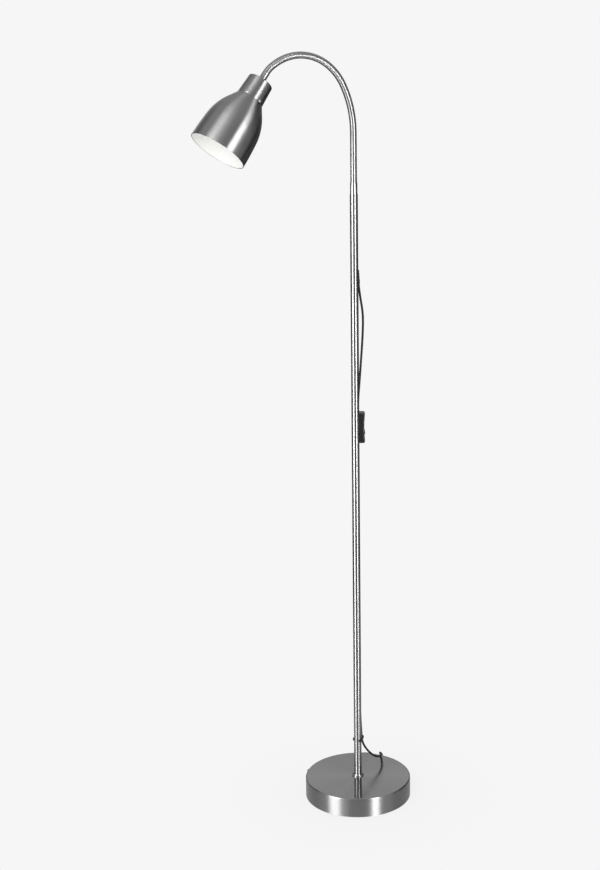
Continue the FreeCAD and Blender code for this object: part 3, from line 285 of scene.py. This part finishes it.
def softened(corners, steps=6):
    """A closed outline of (radius, height, rounding) corners, with the corners rounded off."""
    points = []
    count = len(corners)
    for number, (x, y, rounding) in enumerate(corners):
        corner = Vector((x, y))
        before = (Vector(corners[number - 1][:2]) - corner).normalized()
        after = (Vector(corners[(number + 1) % count][:2]) - corner).normalized()
        opening = before.angle(after)
        if rounding <= 0 or opening > math.radians(175):
            points.append(corner)
            continue
        reach = rounding / math.tan(opening / 2)
        bend = before.x * after.y - before.y * after.x
        start, end = corner + before * reach, corner + after * reach
        points += [start] + arc(start, end, math.copysign(rounding, bend), steps)
    return points


def turned(name, outline, material, body, frame_of=None, sides=128):
    """A piece turned about its own Z axis from a closed outline of (radius, height) points in mm."""
    outline = [Vector(point) for point in outline]
    ringed = []
    for start, end in zip(outline, outline[1:] + outline[:1]):
        ringed.append(start)
        if (end - start).length > 2.0:
            ringed += [start.lerp(end, share) for share in (0.06, 0.5, 0.94)]
    points, faces = [], []
    for x, z in ringed:
        for side in range(sides):
            turn = 2 * math.pi * side / sides
            points.append((x * mm * math.cos(turn), x * mm * math.sin(turn), z * mm))
    for ring in range(len(ringed)):
        after = (ring + 1) % len(ringed)
        for side in range(sides):
            beside = (side + 1) % sides
            faces.append((ring * sides + side, ring * sides + beside, after * sides + beside, after * sides + side))
    return piece(name, points, faces, material, body, frame_of)


wool_felt = grained("wool_felt", "#1D1D1F", "#37373A", (0.88, 1.0), 0.5, 0.25, {"Sheen Weight": 0.3, "Specular IOR Level": 0.2})
felt_outline = softened(((0.02, 0.05, 0), (88.6, 0.05, 0.5), (88.6, 1.95, 0.5), (0.02, 1.95, 0)), 3)
felt = turned("felt_disc", felt_outline, wool_felt, "stand")
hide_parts("base_pad")

# ---- base cover ---------------------------------------------------------------------------------
# A cup pressed from sheet steel, nickel-plated and brushed on a turntable. The brush lines run round
# the pole, so a lamp's reflection spreads across them: fans on the top, upright bands on the wall.


def brushed_steel(name, dark, light, rough, line, polish=(1000.0, 1.0)):
    """Nickel-plated steel brushed round its own Z axis: two tones, roughness, line width in mm, and the height in mm
    above which the roughness falls to a share."""
    material, tree, shader, place = finish(name, linear(light), {"Metallic": 1.0, "Anisotropic": 1.0, "Anisotropic Rotation": 0.25})
    parts = node(tree, "SeparateXYZ", {}, {0: place})
    level = node(tree, "CombineXYZ", {}, {"X": parts.outputs["X"], "Y": parts.outputs["Y"], "Z": 0.0})
    reach = node(tree, "VectorMath", {"operation": "LENGTH"}, {0: level.outputs[0]})
    toward = node(tree, "VectorMath", {"operation": "NORMALIZE"}, {0: level.outputs[0]})
    sides = node(tree, "SeparateXYZ", {}, {0: toward.outputs[0]})
    across = node(tree, "Math", {"operation": "DIVIDE"}, {0: reach.outputs["Value"], 1: line * mm})
    rise = node(tree, "Math", {"operation": "DIVIDE"}, {0: parts.outputs["Z"], 1: line * mm})
    lines = node(tree, "CombineXYZ", {}, {"X": sides.outputs["X"], "Y": sides.outputs["Y"], "Z": across.outputs[0]})
    noise = node(
        tree,
        "TexNoise",
        {"noise_dimensions": "4D"},
        {"Vector": lines.outputs[0], "W": rise.outputs[0], "Scale": 1.0, "Detail": 4.0, "Roughness": 0.65},
    )
    tone = node(tree, "Mix", {"data_type": "RGBA"}, {0: noise.outputs[0], 6: linear(dark), 7: linear(light)})
    ground = node(tree, "MapRange", {}, {0: noise.outputs[0], 1: 0.3, 2: 0.7, 3: rough[0], 4: rough[1]})
    height, share = polish
    fall = node(tree, "MapRange", {}, {0: parts.outputs["Z"], 1: (height - 1.0) * mm, 2: height * mm, 3: 1.0, 4: share})
    gloss = node(tree, "Math", {"operation": "MULTIPLY"}, {0: ground.outputs[0], 1: fall.outputs[0]})
    bump = node(tree, "Bump", {}, {"Strength": 0.25, "Distance": 0.004 * mm, "Height": noise.outputs[0]})
    tangent = node(tree, "Tangent", {"direction_type": "RADIAL", "axis": "Z"}, {})
    tree.links.new(tone.outputs[2], shader.inputs["Base Color"])
    tree.links.new(gloss.outputs[0], shader.inputs["Roughness"])
    tree.links.new(bump.outputs[0], shader.inputs["Normal"])
    tree.links.new(tangent.outputs[0], shader.inputs["Tangent"])
    return material


# Real brush lines are 0.1 to 0.2 mm wide; these are drawn coarser so that the picture holds them.
base_steel = brushed_steel("brushed_nickel_base", "#7A7A7A", "#848484", (0.38, 0.42), 0.9, polish=(34.3, 0.42))
dress(base_steel, "base_cover")

# ---- pole ---------------------------------------------------------------------------------------
# A 13 mm steel tube, brushed while it turned and plated like the base. A threaded stud and insert
# hold it down, a thin flanged collar hides the joint, and a turned ferrule closes its top.

pole_steel = brushed_steel("brushed_nickel_pole", "#7A7A7A", "#868686", (0.31, 0.34), 0.7)
turned_steel = brushed_steel("turned_nickel", "#868686", "#949494", (0.28, 0.32), 0.4)
dress(zinc_plate, "pole_stud", "pole_insert")
dress(pole_steel, "pole_tube")
dress(turned_steel, "pole_collar", "pole_ferrule")

# ---- gooseneck ----------------------------------------------------------------------------------
# Round steel wire is wound into a hose with a finer wire between its turns, which lets it bend and
# stay bent. The turns show as fine ribs with a polished crest and a dark groove.

neck_foot = 1066.4
neck_straight = 77.8
neck_arcs = ((155.4, 28.5), (89.2, 98.5), (40.0, 15.0))
neck_length = neck_straight + sum(radius * math.radians(turn) for radius, turn in neck_arcs)
stretches = 9
stretch = neck_length / stretches
wire_pitch = stretch / 16
hose_crest = 5.4
hose_groove = 0.60
crest_share = 0.82
crest_swell = 0.05
hose_bore = 2.8
hose_end = 4.4
end_length = 11.5


def neck_at(along):
    """The point in mm and the direction of the gooseneck's middle line at a length from its foot."""
    point, lean = Vector((0, 0, neck_foot + min(along, neck_straight))), 0.0
    along -= neck_straight
    for radius, turn in neck_arcs:
        if along > 0:
            angle = min(along / radius, math.radians(turn))
            point += radius * Vector((math.cos(lean + angle) - math.cos(lean), 0, math.sin(lean + angle) - math.sin(lean)))
            lean += angle
            along -= radius * angle
    way = Vector((-math.sin(lean), 0, math.cos(lean)))
    return point + way * max(along, 0.0), way


def wound(along, turn):
    """The hose's outer radius: a low round crest and a narrow groove that climb round it once per pitch."""
    if along < 0 or along > neck_length:
        return hose_end
    phase = abs((along / wire_pitch - turn / (2 * math.pi)) % 1.0 - 0.5) * 2
    if phase < crest_share:
        return hose_crest - crest_swell * (phase / crest_share) ** 2
    dip = (phase - crest_share) / (1 - crest_share)
    return hose_crest - crest_swell - (hose_groove - crest_swell) * math.sin(dip * math.pi / 2)


neck_steel = grained(
    "drawn_steel_wire", "#868686", "#949494", (0.31, 0.34), 1.6, 0.002, {"Metallic": 1.0, "Anisotropic": 1.0}
)
# The drawing lines run along the wire, so a reflection spreads along the hose.
tree = neck_steel.node_tree
along_hose = node(tree, "Tangent", {"direction_type": "UV_MAP", "uv_map": "along_hose"}, {})
tree.links.new(along_hose.outputs[0], tree.nodes["Principled BSDF"].inputs["Tangent"])
hose_sides = 40
for number in range(1, stretches):
    low = (number - 0.5) * stretch if number > 1 else -end_length
    high = (number + 0.5) * stretch if number < stretches - 1 else neck_length + end_length
    rings = round((high - low) / wire_pitch * 9)
    stations = [low + (high - low) * ring / rings for ring in range(rings + 1)]
    inner = [high - (high - low) * ring / 24 for ring in range(25)]
    points, faces = [], []
    for station, outside in [(s, True) for s in stations] + [(s, False) for s in inner]:
        middle, way = neck_at(station)
        sideways = Vector((0, 1, 0)).cross(way)
        for side in range(hose_sides):
            turn = 2 * math.pi * side / hose_sides
            radius = wound(station, turn) if outside else hose_bore
            points.append((middle + (sideways * math.cos(turn) + Vector((0, 1, 0)) * math.sin(turn)) * radius) * mm)
    total = len(stations) + len(inner)
    for ring in range(total):
        after = (ring + 1) % total
        for side in range(hose_sides):
            beside = (side + 1) % hose_sides
            faces.append((ring * hose_sides + side, after * hose_sides + side, after * hose_sides + beside, ring * hose_sides + beside))
    hose = piece("gooseneck_hose_{}".format(number), points, faces, neck_steel, None)
    layer = hose.data.uv_layers.new(name="along_hose")
    for loop, spot in zip(hose.data.loops, layer.data):
        spot.uv = (loop.vertex_index // hose_sides * 0.01, loop.vertex_index % hose_sides / hose_sides)
    start, end = neck_at((number - 0.5) * stretch)[0] * mm, neck_at((number + 0.5) * stretch)[0] * mm
    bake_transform(hose)
    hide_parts(*["gooseneck_{}".format(number + part) for part in ((0, 1) if number == 1 else (1,))])

# ---- shade --------------------------------------------------------------------------------------
# Spun from steel sheet on a lathe: a short neck, a cone-shaped shoulder, a dome and a long skirt.
# The outside is brushed on the lathe and plated, the inside is stove-enamelled white.

head_top, head_way = neck_at(neck_length)
head_top = (head_top + head_way * 16.0) * mm
head_frame = Matrix.Translation(head_top) @ Vector((0, 0, 1)).rotation_difference(head_way).to_matrix().to_4x4()

neck_outline = softened(
    ((2.8, 9.0, 0), (2.8, -4.2, 0), (4.45, -4.2, 0), (4.45, -16.0, 0), (5.6, -16.0, 0.5), (5.6, 0.0, 0.2), (5.0, 0.0, 0), (5.0, 9.0, 0.3))
)
ferrule = turned("shade_ferrule", neck_outline, turned_steel, "head", head_frame, 64)
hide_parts("upper_ferrule")


def bell(offset, end, steps):
    """The bell's outline from its shoulder to its mouth, at a distance inside its outer face."""
    shoulder, dome, mouth = Vector((31.9 - offset, 50.0)), Vector((43.9 - offset, 88.0)), Vector((45.9 - offset, end))
    return [shoulder] + arc(shoulder, dome, -88.0, steps) + arc(dome, mouth, -440.0, steps)


steel_sheet = 1.0
enamel_coat = 0.2
neck_rim = [Vector((5.25, 0.0))] + arc((18.1, 0.0), (20.1, 2.0), -2.0, 8)
outer = [Vector((5.25, 0.0)), Vector((18.1, 0.0))] + arc((18.1, 0.0), (20.1, 2.0), -2.0, 8)
outer += [Vector((21.66, 32.6))] + arc((21.66, 32.6), (22.2, 34.3), 2.6, 4) + bell(0.0, 127.7, 20)
inner = [Vector((44.9, 127.7))] + list(reversed(bell(steel_sheet, 127.7, 20)))[1:]
inner += [Vector((20.7, 33.6)), Vector((19.1, 3.0)), Vector((17.9, 1.0)), Vector((5.25, 1.0))]
shade_steel = brushed_steel("brushed_nickel_shade", "#777777", "#838383", (0.34, 0.38), 0.9)
shell = turned("shade_shell", outer + inner, shade_steel, "head", head_frame, 160)

stove_enamel = grained("white_stove_enamel", "#ECECEA", "#F4F4F2", (0.28, 0.36), 3.0, 0.03, {"Coat Weight": 0.2})
coat = [Vector((20.66, 33.7))] + bell(steel_sheet + 0.02, 127.5, 20)
coat += [point + Vector((-enamel_coat, 0)) for point in reversed(coat)]
enamel = turned("shade_enamel", coat, stove_enamel, "head", head_frame, 160)
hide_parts("shade")

# Four small round-head screws with cross recesses hold the bracket of the lampholder.
screw_depth = 31.4
screw_reach = 21.59
screw_turns = (-105.0, -35.0, 75.0, 145.0)
screw_radius = 2.3
screw_rise = 1.3
for number, turn in enumerate(screw_turns):
    rings, sides = 14, 48
    points, faces = [], []
    for ring in range(rings + 1):
        share = ring / rings
        for side in range(sides):
            angle = 2 * math.pi * side / sides
            x, y = share * screw_radius * math.cos(angle), share * screw_radius * math.sin(angle)
            height = screw_rise * (1 - share ** 2.6) + 0.05
            if min(abs(x), abs(y)) < 0.32 and share < 0.62:
                height -= 0.6 * (1 - share / 0.62) + 0.25
            points.append(Vector((x, y, height)) * mm)
    foot = len(points)
    for radius, height in ((screw_radius, 0.0), (1.5, 0.0), (1.5, -4.5), (0.01, -4.5)):
        for side in range(sides):
            angle = 2 * math.pi * side / sides
            points.append(Vector((radius * math.cos(angle), radius * math.sin(angle), height)) * mm)
    total = len(points) // sides
    for ring in range(total - 1):
        for side in range(sides):
            beside = (side + 1) % sides
            faces.append((ring * sides + side, ring * sides + beside, (ring + 1) * sides + beside, (ring + 1) * sides + side)[::-1])
    around = Matrix.Rotation(math.radians(turn), 4, "Z")
    outward = Matrix.Translation((screw_reach * mm, 0, screw_depth * mm)) @ Matrix.Rotation(math.pi / 2, 4, "Y")
    screw = piece(
        "shade_screw_{}".format(number + 1), points, faces, zinc_plate, "head", head_frame @ around @ outward
    )
    if number == 0:
        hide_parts("shade_screws")
dress(zinc_plate, "shade_nut")

# ---- lampholder and bulb ------------------------------------------------------------------------
# A white-painted bracket carries a moulded white lampholder with a brass contact. The small opal
# globe screws into it by its aluminium cap.

bracket_paint = grained("white_powder_coat", "#DEDEDB", "#ECECEA", (0.42, 0.55), 1.2, 0.05, {})
holder_resin = grained("white_moulded_resin", "#E4E3DE", "#EFEEEA", (0.30, 0.42), 5.0, 0.02, {})
brass = grained("spring_brass", "#B08A45", "#CFA962", (0.25, 0.38), 2.0, 0.02, {"Metallic": 1.0})
cap_aluminium = grained("rolled_aluminium", "#B9BBBC", "#D2D3D4", (0.28, 0.40), 1.5, 0.03, {"Metallic": 1.0})
opal_glass = grained("opal_glass", "#F0EFEB", "#F7F6F3", (0.08, 0.14), 8.0, 0.01, {"Subsurface Weight": 0.25, "IOR": 1.5})
dress(bracket_paint, "lampholder_bracket")
dress(holder_resin, "lampholder")
dress(brass, "lampholder_contact")
dress(cap_aluminium, "bulb_cap")
dress(opal_glass, "bulb_globe")

# ---- cord from the pole to the switch -----------------------------------------------------------
# A round black PVC flex, 3.6 mm thick. A soft moulded sleeve guards it where it comes out of the
# pole, and from there it hangs in a long shallow bow to the switch.

flex_across = 3.6
soft_pvc = grained("black_pvc", "#070708", "#101011", (0.42, 0.56), 2.2, 0.04, {"Specular IOR Level": 0.2})
moulded_black = grained("black_moulded_abs", "#0A0A0B", "#161617", (0.34, 0.46), 0.7, 0.03, {"Specular IOR Level": 0.35})


def sleeve(name, start, end, wide, narrow, grooves, body_nodes):
    """A tapered strain relief between two points in metres, with the grooves that let the real one bend; this one is
    rigid on the stand.
    """
    length = (end - start).length / mm
    outline = [(1.85, 0.0), (wide - 0.4, 0.0), (wide, 0.5)]
    for groove in range(grooves):
        middle = length * (0.18 + 0.70 * groove / (grooves - 1))
        radius = wide + (narrow - wide) * middle / length
        outline += [(radius, middle - 0.75), (radius - 0.55, middle - 0.45), (radius - 0.55, middle + 0.45), (radius, middle + 0.75)]
    outline += [(narrow, length - 0.4), (narrow - 0.3, length), (1.85, length)]
    turn = Vector((0, 0, 1)).rotation_difference(end - start).to_matrix().to_4x4()
    made = turned(name, outline, soft_pvc, "stand", Matrix.Translation(start) @ turn, 48)
    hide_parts(*body_nodes)
    return made


around_pole = Matrix.Rotation(math.radians(15.0), 3, "Z")
relief_top = around_pole @ Vector((6.9, 0, 924.0)) * mm
relief_end = around_pole @ Vector((10.2, 0, 902.0)) * mm
relief_way = (around_pole @ Vector((3.3, 0, -22.0))).normalized()
exit_sleeve = sleeve("exit_sleeve", relief_top, relief_end, 3.2, 2.6, 4, ["cord_exit_relief"])

switch_middle = behind(4.5, 18.0, 658.8)
half_switch = Vector((0, 0, 25.5)) * mm


def flex(name, route, solids):
    """The cord's smooth line through its chosen points, as thick as the flex."""
    curve = bpy.data.curves.new(name, "CURVE")
    curve.dimensions = "3D"
    curve.resolution_u = 10
    curve.bevel_depth = flex_across / 2 * mm
    curve.bevel_resolution = 6
    curve.use_fill_caps = True
    spline = curve.splines.new("NURBS")
    spline.points.add(len(route) - 1)
    for point, place in zip(spline.points, route):
        point.co = (*place, 1.0)
    spline.order_u = 3
    spline.use_endpoint_u = True
    curve.materials.append(soft_pvc)
    made = bpy.data.objects.new(name, curve)
    bpy.context.scene.collection.objects.link(made)
    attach(made, "stand")
    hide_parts(*solids)
    return made


upper_points = ((20.0, 4.4, 850.0), (19.8, 6.3, 812.0), (17.4, 8.0, 772.0), (15.4, 9.9, 735.0))
upper_route = [relief_end, relief_end + relief_way * 18.0 * mm] + [Vector(point) * mm for point in upper_points]
upper_route += [switch_middle + half_switch + Vector((0, 0, 20.0)) * mm, switch_middle + half_switch]
upper_flex = flex("flex_upper", upper_route, ["cord_upper"])

# ---- switch -------------------------------------------------------------------------------------
# Two moulded ABS shells, screwed together, with a glossier rocker in the front one. The rocker
# tips on a steel pin, and brass terminals take the wires inside.

polished_black = grained("black_polished_abs", "#0A0A0B", "#141415", (0.16, 0.24), 4.0, 0.01, {})
dress(moulded_black, "switch_upper_shell", "switch_lower_shell")
dress(polished_black, "switch_rocker")
dress(zinc_plate, "switch_pin", "switch_screws")
dress(brass, "switch_terminals")

# ---- cord from the switch to the plug -----------------------------------------------------------
# The flex hangs close behind the pole, passes through the clip, droops over the base's edge, and its
# spare length is wound into a flat coil behind the base, where the plug lies too.

lower_points = (
    (3.9, 17.1, 575.0),
    (3.2, 15.6, 522.0),
    (2.7, 14.1, 466.0),
    (2.4, 12.9, 409.0),
    (2.4, 12.1, 351.0),
    (2.6, 11.6, 293.0),
    (3.0, 11.3, 235.0),
    (3.8, 10.9, 178.0),
    (5.2, 10.0, 136.0),
    (6.5, 9.3, 112.0),
    (7.6, 11.2, 94.0),
    (12.2, 15.2, 81.3),
    (20.4, 18.5, 68.8),
    (30.0, 25.8, 58.0),
    (37.2, 37.0, 51.7),
    (42.0, 50.6, 48.4),
    (43.2, 62.6, 43.2),
    (41.9, 73.2, 37.6),
    (39.9, 81.4, 37.1),
    (40.4, 89.6, 34.9),
    (43.2, 95.6, 29.3),
    (44.8, 98.8, 22.0),
    (43.6, 99.6, 14.4),
    (39.2, 98.8, 8.0),
    (32.2, 96.6, 4.0),
)
coil_in, coil_climb, coil_out = 2.75, 0.5, 2.8333
coil_turns = coil_in + coil_climb + coil_out
coil_inner, coil_pitch, coil_low, coil_layer = 14.2, 4.2, 2.9, 4.05


def coil_at(turns):
    """The coil's middle line: in on the lower layer, up, and out again on the upper one."""
    climb = min(max(turns - coil_in, 0.0), coil_climb)
    inward = max(coil_in - turns, 0.0) - climb * (1 - climb / coil_climb)
    radius = coil_inner + coil_pitch * (inward + max(turns - coil_in - coil_climb, 0.0))
    angle = -math.pi / 2 - 2 * math.pi * turns
    rise = coil_layer * (1 - math.cos(math.pi * climb / coil_climb)) / 2
    return behind(12.0 + radius * math.cos(angle), 120.8 + radius * math.sin(angle), coil_low + rise)


coil_first = (coil_at(0.001) - coil_at(-0.001)).normalized()
coil_last = (coil_at(coil_turns + 0.001) - coil_at(coil_turns - 0.001)).normalized()
coil_start = coil_at(0.0) - coil_first * 4.0 * mm
coil_end = coil_at(coil_turns) + coil_last * 4.0 * mm
coil_steps = round(coil_turns * 24)

plug_tangent = math.radians(33.0)
plug_axis, plug_reach = 91.4 + 1.8 + 11.0, 10.0 - 20.0 - 11.0
plug_start = behind(
    -plug_axis * math.sin(plug_tangent) - plug_reach * math.cos(plug_tangent),
    plug_axis * math.cos(plug_tangent) - plug_reach * math.sin(plug_tangent),
    coil_low + coil_layer,
)
plug_way = Matrix.Rotation(view_turn + math.pi + plug_tangent, 3, "Z") @ Vector((1, 0, 0))

lower_route = [switch_middle - half_switch, switch_middle - half_switch - Vector((0, 0, 24.0)) * mm]
lower_route += [behind(*point) for point in lower_points]
lower_route += [coil_start - coil_first * 8.4 * mm, coil_start]
lower_route += [coil_at(coil_turns * step / coil_steps) for step in range(coil_steps + 1)]
lower_route += [coil_end, coil_end + coil_last * 10.0 * mm, plug_start - plug_way * 10.0 * mm, plug_start]
lower_flex = flex("flex_lower", lower_route, ["cord_lower", "cord_coil", "cord_tail"])

# The plug is moulded onto the flex, with a ribbed sleeve behind it and two plated blades.
plug_sleeve = sleeve("plug_sleeve", plug_start + plug_way * 20.0 * mm, plug_start, 4.1, 2.6, 4, ["plug_relief"])
dress(moulded_black, "plug_body")
dress(zinc_plate, "plug_blades")

# ---- clip ---------------------------------------------------------------------------------------
# A black nylon ring that snaps round the pole, low down, and keeps the cord at it with its eye.

nylon = grained("black_nylon", "#0A0A0B", "#151516", (0.38, 0.50), 0.9, 0.03, {"Specular IOR Level": 0.3})
dress(nylon, "cord_clip")
